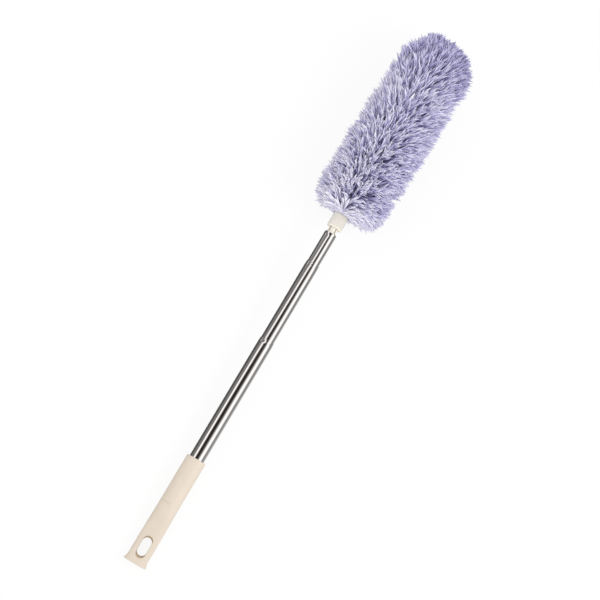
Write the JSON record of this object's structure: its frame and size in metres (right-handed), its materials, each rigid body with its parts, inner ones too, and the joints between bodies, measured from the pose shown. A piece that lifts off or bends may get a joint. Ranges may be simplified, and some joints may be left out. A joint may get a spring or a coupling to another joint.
{
  "type": "ceiling fan duster",
  "caption": "Telescopic duster for ceiling fans: soft bendable pile head on nested polished steel tubes, with a moulded handle and a hanging slot.",
  "frame": {"origin": "on the pole's axis, in the flat end face of the handle", "axes": "+X along the pole from the handle to the head, +Z square to the flattened side of the handle, which the hanging slot goes through, +Y across the handle"},
  "size_m": [0.7571, 0.1026, 0.101],
  "materials": {
    "cream_plastic": "moulded, satin",
    "polished_steel": "polished tube",
    "spring_steel": "plain drawn wire and strip",
    "natural_nylon": "moulded, dull",
    "grey_foam": "soft foam sleeve",
    "lavender_microfibre": "deep split-fibre pile"
  },
  "bodies": {
    "handle": {"handle_grip": "cream_plastic", "outer_tube": "polished_steel", "outer_tube_plug": "natural_nylon"},
    "middle_guide": {"middle_guide_bush": "natural_nylon", "middle_friction_spring": "spring_steel"},
    "middle_pole": {"middle_tube": "polished_steel"},
    "inner_guide": {"inner_guide_bush": "natural_nylon", "inner_friction_spring": "spring_steel"},
    "inner_pole": {"inner_tube": "polished_steel", "threaded_stem": "cream_plastic", "head_collar": "cream_plastic", "core_anchor": "natural_nylon", "core_wire_1": "spring_steel", "core_sheath_1": "grey_foam", "pile_1": "lavender_microfibre"},
    "head_2": {"core_wire_2": "spring_steel", "core_sheath_2": "grey_foam", "pile_2": "lavender_microfibre"},
    "head_3": {"core_wire_3": "spring_steel", "core_sheath_3": "grey_foam", "pile_3": "lavender_microfibre"},
    "head_4": {"core_wire_4": "spring_steel", "core_sheath_4": "grey_foam", "core_end_cap": "natural_nylon", "pile_4": "lavender_microfibre"}
  },
  "joints": [
    {"name": "middle_slide", "type": "slide", "parent": "handle", "child": "middle_guide", "axis": [1, 0, 0], "range_m": [-0.105, 0.0928]},
    {"name": "middle_turn", "type": "hinge", "parent": "middle_guide", "child": "middle_pole", "pos_m": [0.2097, 0, 0], "axis": [1, 0, 0], "continuous": true},
    {"name": "inner_slide", "type": "slide", "parent": "middle_pole", "child": "inner_guide", "axis": [1, 0, 0], "range_m": [-0.0375, 0.1377]},
    {"name": "inner_turn", "type": "hinge", "parent": "inner_guide", "child": "inner_pole", "pos_m": [0.2758, 0, 0], "axis": [1, 0, 0], "continuous": true},
    {"name": "head_bend_1", "type": "hinge", "parent": "inner_pole", "child": "head_2", "pos_m": [0.54729, -0.0012, 0], "axis": [0, 0, 1], "range_deg": [-30, 30], "deforming": ["pile_1", "core_sheath_1"]},
    {"name": "head_bend_2", "type": "hinge", "parent": "head_2", "child": "head_3", "pos_m": [0.60477, -0.00241, 0], "axis": [0, 0, 1], "range_deg": [-30, 30], "deforming": ["pile_2", "core_sheath_2"]},
    {"name": "head_bend_3", "type": "hinge", "parent": "head_3", "child": "head_4", "pos_m": [0.66226, -0.00361, 0], "axis": [0, 0, 1], "range_deg": [-30, 30], "deforming": ["pile_3", "core_sheath_3", "pile_4", "core_sheath_4"]}
  ]
}
